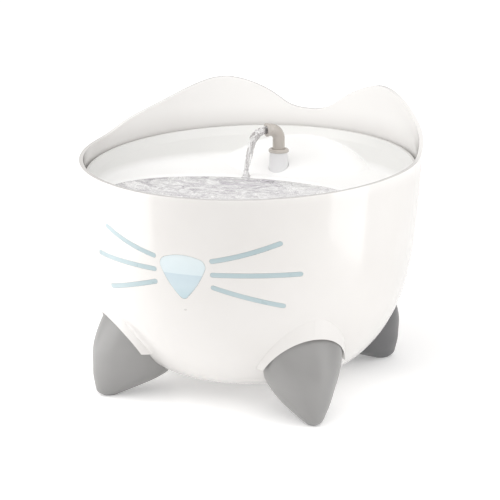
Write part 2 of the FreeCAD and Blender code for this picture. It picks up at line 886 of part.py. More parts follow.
def cartridge_bounds(shrink):
    half = housing_half_width - housing_wall - cartridge_play
    low = (-half + shrink, housing_front + housing_wall + cartridge_play, housing_floor + 0.2 + shrink)
    high = (half - shrink, low[1] + cartridge_thickness, housing_top - 2 - shrink)
    return low, high


def make_cartridge_frame():
    low, high = cartridge_bounds(0)
    inner_low, inner_high = cartridge_bounds(cartridge_frame_wall)
    window_low = (inner_low[0], low[1] - 1, inner_low[2])
    window_high = (inner_high[0], high[1] + 1, inner_high[2])
    frame = box(low, high).cut(box(window_low, window_high))
    bar = box((-1, high[1] - 1.2, low[2] + 1), (1, high[1], high[2] - 1))
    return frame.fuse(bar)


def make_filter_foam():
    low, high = cartridge_bounds(cartridge_frame_wall + 0.2)
    return box((low[0], low[1] + 0.3, low[2]), (high[0], low[1] + foam_share, high[2]))


def make_filter_media():
    low, high = cartridge_bounds(cartridge_frame_wall + 0.2)
    return box((low[0], low[1] + foam_share + 0.3, low[2]), (high[0], high[1] - 1.4, high[2]))


# Pump

def pump_block(shrink, bottom, top):
    half = pump_half_width - shrink
    block = box((-half, motor_front + shrink, bottom), (half, motor_back - shrink, top))
    return block.makeFillet(3 - shrink / 2, upright_edges(block))


def on_axis(radius, start, end):
    """A cylinder on the impeller's axis."""
    return rod(radius, (0, start, pump_axis), (0, end, pump_axis))


def well_end():
    return motor_front + pump_wall


def gland_place():
    return pump_half_width - 8, pump_top - 6


def make_pump_housing():
    bottom = pump_bottom + pump_base_thickness
    shell = pump_block(0, bottom, pump_top).cut(pump_block(pump_wall, bottom - 1, pump_top - pump_wall))
    shell = shell.fuse(on_axis(well_radius + well_wall, well_end() - 0.5, motor_back))
    shell = shell.cut(on_axis(well_radius, well_end(), motor_back + 1))
    x, z = gland_place()
    return shell.cut(rod(gland_radius, (x, motor_front - 1, z), (x, well_end() + 1, z)))


def make_pump_base():
    return pump_block(0, pump_bottom, pump_bottom + pump_base_thickness)


def core_bounds():
    return motor_front + 8, motor_back - 8


def make_stator_core():
    """Plates in a U: a yoke below the rotor's well and two legs with poles round it."""
    start, end = core_bounds()
    low = pump_bottom + pump_base_thickness + 1.4
    legs = well_radius + well_wall + 6
    core = box((-legs, start, low), (legs, end, pump_axis + 9))
    core = core.cut(box((-legs + 6.4, start, low + 3), (legs - 6.4, end, pump_axis + 10)))
    return core.cut(on_axis(well_radius + well_wall + 0.2, start, end))


def make_stator_coil():
    start, end = core_bounds()
    low = pump_bottom + pump_base_thickness + 0.4
    high = pump_axis - well_radius - well_wall - 0.8
    coil = box((-9, start - 3, low), (9, end + 3, high))
    coil = coil.makeFillet(1.2, [edge for edge in coil.Edges if abs(edge.tangentAt(0).x) > 0.99])
    return coil.cut(make_stator_core())


def make_potting():
    bottom = pump_bottom + pump_base_thickness
    fill = pump_block(pump_wall, bottom, pump_top - pump_wall)
    fill = fill.cut(on_axis(well_radius + well_wall, motor_front, motor_back))
    fill = fill.cut(make_stator_core()).cut(make_stator_coil())
    x, z = gland_place()
    return fill.cut(rod(gland_radius, (x, motor_front, z), (x, well_end() + 2, z)))


def make_cable_gland():
    x, z = gland_place()
    start = motor_front
    gland = rod(gland_radius, (x, start, z), (x, well_end() + 2, z))
    gland = gland.fuse(rod(gland_radius + 1.2, (x, start - 1.8, z), (x, start, z)))
    gland = gland.fuse(Part.makeCone(gland_bore + 1, gland_radius, 4.2, Vector(x, start - 6, z), BACK))
    return gland.cut(rod(gland_bore, (x, start - 8, z), (x, well_end() + 1, z)))


def make_suction_cup(x, y):
    outline = [(0, 0.4), (cup_radius - 0.6, 0), (cup_radius, 0.3), (2.2, 2.2), (2.2, cup_height), (0, cup_height)]
    return moved(turned(outline), FreeCAD.Placement(Vector(x, y, housing_floor), FreeCAD.Rotation()))


def volute_back():
    return motor_back + volute_depth


def make_inner_bush():
    start = well_end()
    return on_axis(3, start, start + 3).cut(on_axis(shaft_radius, start + 1, start + 4))


def make_shaft():
    return on_axis(shaft_radius, well_end() + 1, volute_back())


def make_magnet():
    return on_axis(magnet_radius, well_end() + 3.6, motor_back - 2).cut(
        on_axis(shaft_radius + bearing_play, well_end(), motor_back))


def make_impeller():
    """Stem, back disc and straight blades, so that it pumps whichever way it starts."""
    disc = motor_back + 2.6
    end = motor_back + chamber_depth - 2
    body = on_axis(4, motor_back - 2, disc + 2).fuse(on_axis(impeller_radius, disc, disc + 1.4))
    body = body.fuse(on_axis(3, disc, end))
    for index in range(impeller_blades):
        blade = box((2, disc, -blade_thickness / 2), (impeller_radius, end, blade_thickness / 2))
        turn = FreeCAD.Rotation(BACK, index * 360 / impeller_blades)
        body = body.fuse(moved(blade, FreeCAD.Placement(Vector(0, 0, pump_axis), turn)))
    return body.cut(on_axis(shaft_radius + bearing_play, motor_front, volute_back())).removeSplitter()


def volute_box(start, end, shrink=0):
    half = volute_half_width - shrink
    top = pump_axis + volute_half_width - 1
    form = box((-half, start, pump_axis - half), (half, end, top - shrink))
    edges = [edge for edge in form.Edges if abs(edge.tangentAt(0).y) > 0.99]
    return form.makeFillet(4 - shrink / 2, edges)


def make_volute():
    """Impeller chamber with a nozzle on top and a three-legged bearing in its intake."""
    back = volute_back()
    form = volute_box(motor_back, back)
    form = form.fuse(rod(nozzle_radius, (0, spout_y, pump_axis), (0, spout_y, nozzle_end)))
    form = form.cut(on_axis(chamber_radius, motor_back, motor_back + chamber_depth))
    form = form.cut(rod(nozzle_bore, (0, spout_y, pump_axis), (0, spout_y, nozzle_end)))
    form = form.cut(on_axis(intake_bore, motor_back, back))
    hub_start = motor_back + chamber_depth + 0.4
    spider = on_axis(3.2, hub_start, back + 3)
    for index in range(3):
        leg = box((-0.8, hub_start, 0), (0.8, back, intake_bore + 0.5))
        turn = FreeCAD.Rotation(BACK, index * 120)
        spider = spider.fuse(moved(leg, FreeCAD.Placement(Vector(0, 0, pump_axis), turn)))
    form = form.fuse(spider)
    form = form.cut(on_axis(shaft_radius, motor_back, back))
    return form.cut(make_volute_seal()).removeSplitter()


def make_volute_seal():
    """Ring in a groove round the chamber, against the motor's face."""
    return tube(chamber_radius + 2.6, chamber_radius + 1.2,
                (0, motor_back, pump_axis), (0, motor_back + 1, pump_axis))


def dial_windows(radius):
    """Two quarter openings, as prisms along the impeller's axis."""
    windows = []
    for side in (0, 180):
        sector = Part.makeCylinder(radius, volute_depth, Vector(0, 0, 0), BACK, 80)
        turn = FreeCAD.Rotation(BACK, side)
        windows.append(moved(sector, FreeCAD.Placement(Vector(0, volute_back() - 1, pump_axis), turn)))
    return windows[0].fuse(windows[1])


def make_flow_dial():
    start = volute_back() + 0.4
    end = start + dial_thickness
    dial = on_axis(dial_radius, start, end)
    windows = dial_windows(dial_radius - 1.6).cut(on_axis(4.4, start - 2, end + 20))
    dial = dial.cut(windows)
    dial = dial.fuse(box((-1.5, start, pump_axis + dial_radius - 2), (1.5, end, pump_axis + dial_lever)))
    return dial.cut(on_axis(3.2 + bearing_play, start - 1, end + 1)).removeSplitter()


def make_intake_cover():
    """Cap behind the volute: it holds the dial and keeps coarse dirt out with a row of slots."""
    start = volute_back()
    end = start + cover_depth
    cap = volute_box(start, end)
    cap = cap.cut(volute_box(start - 1, end - cover_wall, cover_wall))
    lever_room = box((-10.5, start, pump_axis), (10.5, start + dial_thickness + 1, pump_axis + 40))
    cap = cap.cut(lever_room)
    for index in range(7):
        x = (index - 3) * 3.6
        cap = cap.cut(box((x - 0.9, start, pump_axis - 11), (x + 0.9, end + 1, pump_axis + 11)))
    return cap


# Cable outlet

def make_cable_grommet():
    """Rubber ring in the bowl's back wall; the cable passes through it."""
    outside = wall_radius(outlet_height) + 0.6
    inside = wall_radius(outlet_height, bowl_wall) - 0.6
    body = rod(outlet_hole - 0.1, (0, inside, outlet_height), (0, outside, outlet_height))
    body = body.fuse(rod(outlet_flange, (0, outside, outlet_height),
                         (0, outside + outlet_flange_thickness, outlet_height)))
    body = body.fuse(rod(outlet_flange, (0, inside - outlet_flange_thickness, outlet_height),
                         (0, inside, outlet_height)))
    return body.cut(rod(outlet_bore, (0, inside - 5, outlet_height), (0, outside + 5, outlet_height)))


# All nodes

def make_parts():
    parts = {
        "bowl": make_bowl(),
        "nose_window": make_nose_window(),
        "nose_seal": make_nose_seal(),
        "nose_frame": make_nose_frame(),
        "nose_screws": make_nose_screws(),
        "foot_screws": make_foot_screws(),
        "cable_grommet": make_cable_grommet(),
        "dish": make_dish(),
        "spout_pedestal": make_pedestal(),
        "pedestal_seal": make_pedestal_seal(),
        "spout_collar": make_collar(),
        "riser_tube": make_riser(),
        "riser_coupling": make_coupling(),
        "spout_tube": make_spout(),
        "spout_ring": make_spout_ring(),
        "filter_housing": make_housing(),
        "filter_lid": make_housing_lid(),
        "cartridge_frame": make_cartridge_frame(),
        "filter_foam": make_filter_foam(),
        "filter_media": make_filter_media(),
        "pump_housing": make_pump_housing(),
        "pump_base": make_pump_base(),
        "stator_core": make_stator_core(),
        "stator_coil": make_stator_coil(),
        "pump_potting": make_potting(),
        "pump_cable_gland": make_cable_gland(),
        "inner_bush": make_inner_bush(),
        "impeller_shaft": make_shaft(),
        "rotor_magnet": make_magnet(),
        "impeller": make_impeller(),
        "volute_cover": make_volute(),
        "volute_seal": make_volute_seal(),
        "flow_dial": make_flow_dial(),
        "intake_cover": make_intake_cover(),
    }
    for name, line in whisker_lines.items():
        parts["whisker_right_" + name] = make_whisker(line)
        parts["whisker_left_" + name] = make_whisker(mirrored(line))
    foot, pad = make_foot(), make_foot_pad()
    for name, angle in foot_angles().items():
        parts["foot_" + name] = about_z(foot, angle)
        parts["foot_pad_" + name] = about_z(pad, angle)
    for side, x in (("left", -15), ("right", 15)):
        parts["suction_cup_front_" + side] = make_suction_cup(x, motor_front + 6)
        parts["suction_cup_back_" + side] = make_suction_cup(x, motor_back - 6)
    return parts


os.makedirs("parts", exist_ok=True)
for node, shape in make_parts().items():
    shape.exportStep("parts/" + node + ".step")
    print(node, len(shape.Solids), shape.isValid(), round(shape.Volume))
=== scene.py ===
import json
import math

import bmesh
import bpy
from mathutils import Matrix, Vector, noise


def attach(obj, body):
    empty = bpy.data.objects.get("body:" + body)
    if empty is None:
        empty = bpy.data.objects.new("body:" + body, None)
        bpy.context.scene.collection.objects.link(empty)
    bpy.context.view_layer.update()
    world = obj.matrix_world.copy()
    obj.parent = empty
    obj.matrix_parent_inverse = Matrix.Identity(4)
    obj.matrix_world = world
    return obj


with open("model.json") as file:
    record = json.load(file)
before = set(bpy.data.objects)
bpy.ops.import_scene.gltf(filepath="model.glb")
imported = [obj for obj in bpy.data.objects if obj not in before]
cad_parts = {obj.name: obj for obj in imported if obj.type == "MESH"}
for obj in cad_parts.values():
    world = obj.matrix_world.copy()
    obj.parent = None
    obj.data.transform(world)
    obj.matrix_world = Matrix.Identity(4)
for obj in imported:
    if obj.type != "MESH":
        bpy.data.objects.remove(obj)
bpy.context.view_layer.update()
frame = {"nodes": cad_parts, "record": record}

# Lengths are metres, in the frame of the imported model: front is -Y, Z is up.

# Camera
CAMERA_AZIMUTH = 22.4        # degrees to the right of straight ahead
CAMERA_ELEVATION = 14.95
CAMERA_DISTANCE = 1.1116
CAMERA_TARGET = Vector((0, 0, 0.089))
FOCAL_LENGTH = 116.48
SENSOR = 36.0
SHIFT_X = -0.0013
SHIFT_Y = 0.0029

# Light: places are metres or degrees from the camera's azimuth, strengths are radiances or energies
WORLD_COLOUR = (1.0, 0.975, 0.955, 1)
WORLD_DIM = 0.26
WORLD_BRIGHT = 0.5
WORLD_DIM_LEAN = -0.75       # how far a direction leans to the bright side where the dim light starts
WORLD_BRIGHT_LEAN = 0.6
BRIGHT_SIDE = -75
BRIGHT_FLAT = 0.9
BRIGHT_UP = 0.44
PANEL_RADIANCE = 1.6
PANEL_HEIGHT = 0.5
PANEL_LIFT = 0.002           # gap between a softbox and the floor
SKY_WIDTH = 90               # degrees that a light from above spreads over
FLOOR_GLOW = 0.24
FLOOR_HALF_WIDTH = 4.0
FLOOR_DROP = 0.0002          # the floor lies this far under the pads

# Where the plastic's tone changes: painted shade on the rear feet and the dish's wall, painted light on the
# ears, and the nose's bands
SHADED_REAR_FEET = ("foot_back_right", "foot_back_left")    # painted shade: the photograph shows these much darker, so they get a darker plastic
EAR_LIGHT_START = 0.146       # heights over which painted light makes the bowl's wall paler towards the ears
EAR_LIGHT_END = 0.174
EAR_PAINTED_LIGHT_COLOUR = (0.96, 0.95, 0.935, 1)
MOUND_CENTRE = (0.0, 0.1, 0.047)
MOUND_RADIUS = 0.104
MOUND_EDGE = (0.0004, 0.0012)
# painted shade: the dish's wall turns greyer between these heights, off the mound
DISH_SHADE_START = 0.1345
DISH_SHADE_END = 0.139
DISH_WALL_SHADE_COLOUR = (0.83, 0.83, 0.815, 1)
NOSE_LOW = 0.085
NOSE_HIGH = 0.114
NOSE_SWAY = 0.0006           # how unevenly the bands of the nose run
NOSE_BANDS = [
    (0.0, (0.58, 0.75, 0.81)), (0.3, (0.68, 0.81, 0.87)), (0.585, (0.66, 0.79, 0.86)),
    (0.6, (0.8, 0.91, 0.95)), (1.0, (0.84, 0.94, 0.97)),
]


def toward(azimuth, elevation, distance):
    """A place at a distance from the target: azimuth 0 is the front, and it grows to the right."""
    turn, rise = math.radians(azimuth), math.radians(elevation)
    way = Vector((math.sin(turn) * math.cos(rise), -math.cos(turn) * math.cos(rise), math.sin(rise)))
    return CAMERA_TARGET + way * distance


def look_at(thing, target):
    thing.rotation_euler = (target - thing.location).to_track_quat("-Z", "Y").to_euler()


def make_camera():
    data = bpy.data.cameras.new("camera")
    data.lens = FOCAL_LENGTH
    data.sensor_width = SENSOR
    data.shift_x = SHIFT_X
    data.shift_y = SHIFT_Y
    data.clip_start = 0.01
    camera = bpy.data.objects.new("camera", data)
    bpy.context.scene.collection.objects.link(camera)
    camera.location = toward(CAMERA_AZIMUTH, CAMERA_ELEVATION, CAMERA_DISTANCE)
    look_at(camera, CAMERA_TARGET)
    bpy.context.scene.camera = camera


def in_range(tree, source, start, end, low=0.0, high=1.0, smooth=False):
    """A number that goes from low to high as the source goes from start to end."""
    node = tree.nodes.new("ShaderNodeMapRange")
    if smooth:
        node.interpolation_type = "SMOOTHSTEP"
    node.inputs["From Min"].default_value = start
    node.inputs["From Max"].default_value = end
    node.inputs["To Min"].default_value = low
    node.inputs["To Max"].default_value = high
    tree.links.new(source, node.inputs["Value"])
    return node.outputs["Result"]


def make_panel(name, across, toward_camera, width):
    """A tall softbox that stands beside the object, square to the view, and faces it."""
    turn = math.radians(CAMERA_AZIMUTH)
    right = Vector((math.cos(turn), math.sin(turn), 0))
    front = Vector((math.sin(turn), -math.cos(turn), 0))
    data = bpy.data.lights.new(name, "AREA")
    data.shape = "RECTANGLE"
    data.size = width
    data.size_y = PANEL_HEIGHT
    data.energy = PANEL_RADIANCE * math.pi * width * PANEL_HEIGHT
    light = bpy.data.objects.new(name, data)
    bpy.context.scene.collection.objects.link(light)
    light.location = right * across + front * toward_camera + Vector((0, 0, PANEL_HEIGHT / 2 + PANEL_LIFT))
    look_at(light, light.location - right * across)
    light.visible_camera = False


def make_world():
    """Pale studio air, brighter on the left of the camera than behind the object on the right."""
    world = bpy.data.worlds.new("studio")
    world.use_nodes = True
    tree = world.node_tree
    background = tree.nodes["Background"]
    direction = tree.nodes.new("ShaderNodeTexCoord").outputs["Generated"]
    turn = math.radians(CAMERA_AZIMUTH + BRIGHT_SIDE)
    bright = (math.sin(turn) * BRIGHT_FLAT, -math.cos(turn) * BRIGHT_FLAT, BRIGHT_UP)
    lean = tree.nodes.new("ShaderNodeVectorMath")
    lean.operation = "DOT_PRODUCT"
    lean.inputs[1].default_value = bright
    tree.links.new(direction, lean.inputs[0])
    strength = in_range(tree, lean.outputs["Value"], WORLD_DIM_LEAN, WORLD_BRIGHT_LEAN,
                        WORLD_DIM, WORLD_BRIGHT, smooth=True)
    background.inputs["Color"].default_value = WORLD_COLOUR
    tree.links.new(strength, background.inputs["Strength"])
    bpy.context.scene.world = world


def make_sky_light(name, azimuth, elevation, energy):
    """A very wide, soft light from above."""
    sun = bpy.data.lights.new(name, "SUN")
    sun.energy = energy
    sun.angle = math.radians(SKY_WIDTH)
    light = bpy.data.objects.new(name, sun)
    bpy.context.scene.collection.objects.link(light)
    light.location = toward(azimuth, elevation, 1.0)
    look_at(light, CAMERA_TARGET)


def make_lights():
    scene = bpy.context.scene
    scene.view_settings.view_transform = "Standard"
    scene.view_settings.look = "None"
    make_world()
    make_panel("softbox_left", across=-0.32, toward_camera=0.055, width=0.27)
    make_panel("softbox_right", across=0.3, toward_camera=0.197, width=0.17)
    make_sky_light("overhead", CAMERA_AZIMUTH - 20, elevation=62, energy=1.25)
    make_sky_light("fill", CAMERA_AZIMUTH + 72, elevation=52, energy=0.45)


# Materials

def new_material(name):
    material = bpy.data.materials.new(name)
    material.use_nodes = True
    tree = material.node_tree
    tree.nodes.clear()
    output = tree.nodes.new("ShaderNodeOutputMaterial")
    shader = tree.nodes.new("ShaderNodeBsdfPrincipled")
    tree.links.new(shader.outputs["BSDF"], output.inputs["Surface"])
    return material, tree, shader


def place(tree):
    return tree.nodes.new("ShaderNodeTexCoord").outputs["Object"]


def cloud(tree, scale, detail=3.0, rough=0.5):
    texture = tree.nodes.new("ShaderNodeTexNoise")
    texture.inputs["Scale"].default_value = scale
    texture.inputs["Detail"].default_value = detail
    texture.inputs["Roughness"].default_value = rough
    tree.links.new(place(tree), texture.inputs["Vector"])
    return texture.outputs["Fac"]


def ramp(tree, source, low, high, start=0.3, end=0.7):
    """A colour that goes from low to high as the source goes from start to end."""
    node = tree.nodes.new("ShaderNodeValToRGB")
    node.color_ramp.elements[0].position = start
    node.color_ramp.elements[1].position = end
    node.color_ramp.elements[0].color = (*low, 1)
    node.color_ramp.elements[1].color = (*high, 1)
    tree.links.new(source, node.inputs["Fac"])
    return node.outputs["Color"]


def spread(tree, source, low, high):
    """A number that goes from low to high over the middle of a noise's values."""
    return in_range(tree, source, 0.3, 0.7, low, high)


def axis_of(tree, axis):
    node = tree.nodes.new("ShaderNodeSeparateXYZ")
    tree.links.new(place(tree), node.inputs["Vector"])
    return node.outputs[axis]


def product(tree, first, second):
    node = tree.nodes.new("ShaderNodeMath")
    node.operation = "MULTIPLY"
    tree.links.new(first, node.inputs[0])
    tree.links.new(second, node.inputs[1])
    return node.outputs["Value"]


def tint(tree, share, colour):
    """Turn the base colour into another one, by a share that varies over the surface; used for painted
    light and painted shade.
    """
    base = tree.nodes["Principled BSDF"].inputs["Base Color"]
    node = tree.nodes.new("ShaderNodeMix")
    node.data_type = "RGBA"
    tree.links.new(share, node.inputs["Factor"])
    tree.links.new(base.links[0].from_socket, node.inputs[6])
    node.inputs[7].default_value = colour
    tree.links.new(node.outputs[2], base)


def bump(tree, shader, source, strength, distance):
    node = tree.nodes.new("ShaderNodeBump")
    node.inputs["Strength"].default_value = strength
    node.inputs["Distance"].default_value = distance
    tree.links.new(source, node.inputs["Height"])
    tree.links.new(node.outputs["Normal"], shader.inputs["Normal"])


def moulded(name, low, high, rough, grain=900.0, depth=0.00001, patch=25.0, coat=0.0, metal=0.0, clear=0.0):
    """Moulded plastic, rubber or metal: faint patches of colour, uneven gloss and a fine grain."""
    material, tree, shader = new_material(name)
    tree.links.new(ramp(tree, cloud(tree, patch), low, high), shader.inputs["Base Color"])
    fine = cloud(tree, grain, 4.0, 0.6)
    tree.links.new(spread(tree, cloud(tree, patch * 4), *rough), shader.inputs["Roughness"])
    bump(tree, shader, fine, 0.4, depth)
    shader.inputs["Coat Weight"].default_value = coat
    shader.inputs["Coat Roughness"].default_value = 0.08
    shader.inputs["Metallic"].default_value = metal
    shader.inputs["Transmission Weight"].default_value = clear
    return material


def bowl_material():
    """Gloss white plastic: faint waves from moulding, and painted light that makes it paler towards the
    thin ears.
    """
    material = moulded("bowl_plastic", (0.7, 0.683, 0.664), (0.72, 0.704, 0.688), (0.13, 0.17), coat=0.4)
    tree = material.node_tree
    # painted light: the wall turns paler towards the ears
    thin = in_range(tree, axis_of(tree, "Z"), EAR_LIGHT_START, EAR_LIGHT_END, smooth=True)
    tint(tree, thin, EAR_PAINTED_LIGHT_COLOUR)
    return material


def dish_material():
    """Satin white plastic: brightest on the floor and the mound, with painted shade that turns the wall
    round them a shade greyer.
    """
    material = moulded("dish_plastic", (0.93, 0.93, 0.925), (0.96, 0.96, 0.955), (0.3, 0.36))
    tree = material.node_tree
    near = tree.nodes.new("ShaderNodeVectorMath")
    near.operation = "DISTANCE"
    near.inputs[1].default_value = MOUND_CENTRE
    tree.links.new(place(tree), near.inputs[0])
    inner, outer = [MOUND_RADIUS + edge for edge in MOUND_EDGE]
    off_mound = in_range(tree, near.outputs["Value"], inner, outer)
    # painted shade on the dish's wall, kept off the mound
    wall_shade_share = in_range(tree, axis_of(tree, "Z"), DISH_SHADE_START, DISH_SHADE_END)
    tint(tree, product(tree, off_mound, wall_shade_share), DISH_WALL_SHADE_COLOUR)
    return material


def nose_material():
    """Pale blue clear plastic over the reservoir: deeper blue below the water line than above it."""
    material, tree, shader = new_material("nose_plastic")
    sway = tree.nodes.new("ShaderNodeMath")
    sway.operation = "MULTIPLY_ADD"
    sway.inputs[1].default_value = NOSE_SWAY
    tree.links.new(cloud(tree, 120.0), sway.inputs[0])
    tree.links.new(axis_of(tree, "Z"), sway.inputs[2])
    bands = tree.nodes.new("ShaderNodeValToRGB")
    stops = bands.color_ramp.elements
    while len(stops) < len(NOSE_BANDS):
        stops.new(0.5)
    for stop, (position, colour) in zip(stops, NOSE_BANDS):
        stop.position = position
        stop.color = (*colour, 1)
    level = in_range(tree, sway.outputs["Value"], NOSE_LOW, NOSE_HIGH)
    tree.links.new(level, bands.inputs["Fac"])
    tree.links.new(bands.outputs["Color"], shader.inputs["Base Color"])
    tree.links.new(spread(tree, cloud(tree, 90.0), 0.08, 0.14), shader.inputs["Roughness"])
    shader.inputs["Transmission Weight"].default_value = 0.25
    shader.inputs["Coat Weight"].default_value = 0.6
    bump(tree, shader, cloud(tree, 260.0), 0.15, 0.0002)
    return material


def foot_material(name, low, high):
    return moulded(name, low, high, (0.3, 0.4), grain=1500, depth=0.00003)


def make_materials():
    """One material for each slot of the record."""
    return {
        "bowl_white": bowl_material(),
        "dish_white": dish_material(),
        "inner_white": moulded("inner_plastic", (0.8, 0.8, 0.8), (0.84, 0.84, 0.84), (0.35, 0.45)),
        "nose_blue": nose_material(),
        "whisker_blue": moulded("whisker_plastic", (0.38, 0.475, 0.5), (0.45, 0.545, 0.57), (0.25, 0.35)),
        "foot_grey": foot_material("foot_plastic", (0.265, 0.262, 0.258), (0.295, 0.292, 0.288)),
        "pad_rubber": moulded("pad_rubber", (0.3, 0.3, 0.3), (0.35, 0.35, 0.35), (0.6, 0.75)),
        "soft_rubber": moulded("soft_rubber", (0.62, 0.62, 0.61), (0.68, 0.68, 0.67), (0.5, 0.65)),
        "screw_steel": moulded("screw_steel", (0.55, 0.55, 0.55), (0.65, 0.65, 0.65), (0.25, 0.4),
                               metal=1.0),
        "frosted_white": moulded("frosted_plastic", (0.78, 0.78, 0.79), (0.84, 0.84, 0.85), (0.4, 0.5)),
        "spout_grey": moulded("spout_plastic", (0.52, 0.48, 0.44), (0.62, 0.58, 0.54), (0.2, 0.3),
                              coat=0.3),
        "clear_tube": moulded("clear_tube", (0.8, 0.84, 0.86), (0.85, 0.89, 0.9), (0.05, 0.1),
                              clear=0.5),
        "filter_grey": moulded("filter_plastic", (0.68, 0.68, 0.68), (0.74, 0.74, 0.74), (0.35, 0.45)),
        "foam": moulded("foam", (0.05, 0.055, 0.07), (0.12, 0.13, 0.15), (0.9, 1.0),
                        grain=700, depth=0.0008, patch=600),
        "carbon": moulded("carbon", (0.01, 0.01, 0.01), (0.04, 0.04, 0.04), (0.7, 0.9),
                          grain=900, depth=0.0005, patch=700),
        "pump_black": moulded("pump_plastic", (0.012, 0.012, 0.013), (0.022, 0.022, 0.023), (0.35, 0.5)),
        "core_steel": moulded("core_steel", (0.25, 0.25, 0.26), (0.33, 0.33, 0.34), (0.35, 0.5),
                              metal=1.0),
        "coil_copper": moulded("coil_copper", (0.6, 0.26, 0.12), (0.72, 0.36, 0.18), (0.3, 0.4),
                               metal=1.0),
        "potting": moulded("potting", (0.015, 0.015, 0.018), (0.03, 0.03, 0.035), (0.3, 0.45)),
        "shaft_ceramic": moulded("shaft_ceramic", (0.85, 0.84, 0.8), (0.9, 0.89, 0.86), (0.1, 0.2)),
        "magnet_ferrite": moulded("magnet_ferrite", (0.02, 0.02, 0.02), (0.05, 0.05, 0.05), (0.4, 0.55)),
        "impeller_white": moulded("impeller_plastic", (0.76, 0.76, 0.76), (0.82, 0.82, 0.82), (0.3, 0.4)),
    }


def paint_nodes(materials):
    slots = {row["node"]: row["material_slot"] for row in frame["record"]["subparts"]}
    # painted shade: the rear feet get a darker copy of the foot plastic
    painted_shade_foot = foot_material("rear_foot_painted_shade", (0.1, 0.1, 0.104), (0.13, 0.13, 0.134))
    for name, node in frame["nodes"].items():
        node.data.materials.clear()
        node.data.materials.append(painted_shade_foot if name in SHADED_REAR_FEET else materials[slots[name]])


# Floor

def make_floor():
    mesh = bpy.data.meshes.new("floor")
    form = bmesh.new()
    bmesh.ops.create_grid(form, x_segments=24, y_segments=24, size=FLOOR_HALF_WIDTH)
    form.to_mesh(mesh)
    form.free()
    floor = bpy.data.objects.new("floor", mesh)
    bpy.context.scene.collection.objects.link(floor)
    floor.location.z = -FLOOR_DROP
    material, tree, shader = new_material("floor_paper")
    tree.links.new(ramp(tree, cloud(tree, 3.0), (0.96, 0.96, 0.96), (0.98, 0.98, 0.98)),
                   shader.inputs["Base Color"])
    shader.inputs["Roughness"].default_value = 0.9
    shader.inputs["Specular IOR Level"].default_value = 0.1
    shader.inputs["Emission Color"].default_value = (1, 1, 1, 1)
    shader.inputs["Emission Strength"].default_value = FLOOR_GLOW
    bump(tree, shader, cloud(tree, 400.0), 0.1, 0.0001)
    mesh.materials.append(material)


# Water: lengths from here on are millimetres, until add_mesh turns them into metres

MM = 0.001
WATER_IOR = 1.33
CREASE_REFLECTION_WIDTH = 0.09            # share of the noise's values that a painted reflection fold takes
HIGHLIGHT_FADE_START = 0.005           # metres to the right over which the painted reflection folds fade, as a painted highlight
HIGHLIGHT_FADE_END = 0.06
BASIN_CENTRE = -27.0
BASIN_HALF_WIDTH = 95.0
BASIN_HALF_LENGTH = 63.0
BASIN_DEPTH = 5.5
BASIN_SLOPE = 14.0
DISH_FLOOR = 134.0
WATER_LEVEL = 132.9
WATER_CLEAR = 0.15           # gap between the water and the basin
WATER_RINGS = 46
WATER_AROUND = 120
LANDING = Vector((-17.5, 34.0))
RING_HEIGHT = 0.34
RING_PITCH = 0.62            # radians of a ring's wave for each millimetre
RING_FADE = 34.0
CHOP_FADE = 60.0
SPOUT_AXIS = Vector((0.0, 52.0))
SPOUT_TURN = math.radians(45.0)
SPOUT_WAY = Vector((-math.sin(SPOUT_TURN), -math.cos(SPOUT_TURN)))
MOUTH_REACH = 9.6
MOUTH_HEIGHT = 165.4
STREAM_STEPS = 7             # rings of a stream from one of its points to the next
STREAM_TWIST = 0.16          # radians from one ring to the next

# A stream's points: out from the mouth, down from it and to its left, then half width and half thickness
STREAM = [
    (-1.5, 0.0, 0.0, 2.2, 2.2), (2.5, 0.1, 0.0, 2.8, 2.3), (6.2, 1.2, -0.4, 4.1, 2.0),
    (9.4, 3.8, -0.8, 4.4, 1.7), (11.6, 7.8, -1.0, 3.7, 1.5), (13.3, 13.6, -0.9, 2.8, 1.3),
    (14.3, 19.4, -0.4, 2.1, 1.3), (14.9, 24.2, 0.0, 1.8, 1.4), (15.1, 27.05, 0.0, 1.7, 1.5),
]
STRAND = [
    (0.5, 1.6, 1.0, 1.0, 0.8), (4.3, 4.0, 1.6, 1.4, 0.9), (7.2, 8.0, 2.2, 1.3, 0.8),
    (9.0, 12.8, 2.3, 0.9, 0.7), (10.2, 17.8, 1.8, 0.6, 0.5), (12.0, 22.8, 1.0, 0.5, 0.5),
    (14.0, 28.2, 0.3, 0.4, 0.4),
]
# The foot of the stream stays with the dish, so that the stream clears the mound when the spout turns
SPLASH_OUT = 15.1
SPLASH = [
    (SPLASH_OUT, MOUTH_HEIGHT - height, 0.0, radius, radius)
    for height, radius in ((138.3, 1.6), (136.8, 1.7), (134.9, 2.1), (133.4, 3.1), (132.6, 4.6))
]


def add_mesh(name, verts, faces, material, body):
    mesh = bpy.data.meshes.new(name)
    mesh.from_pydata([Vector(v) * MM for v in verts], [], faces)
    mesh.validate()
    form = bmesh.new()
    form.from_mesh(mesh)
    bmesh.ops.recalc_face_normals(form, faces=form.faces)
    form.to_mesh(mesh)
    form.free()
    mesh.polygons.foreach_set("use_smooth", [True] * len(mesh.polygons))
    piece = bpy.data.objects.new(name, mesh)
    bpy.context.scene.collection.objects.link(piece)
    mesh.materials.append(material)
    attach(piece, body)


def basin_size(height):
    """Half width and half length of the basin at a height."""
    narrower = BASIN_SLOPE * (DISH_FLOOR - height) / BASIN_DEPTH
    return BASIN_HALF_WIDTH - narrower - WATER_CLEAR, BASIN_HALF_LENGTH - narrower - WATER_CLEAR


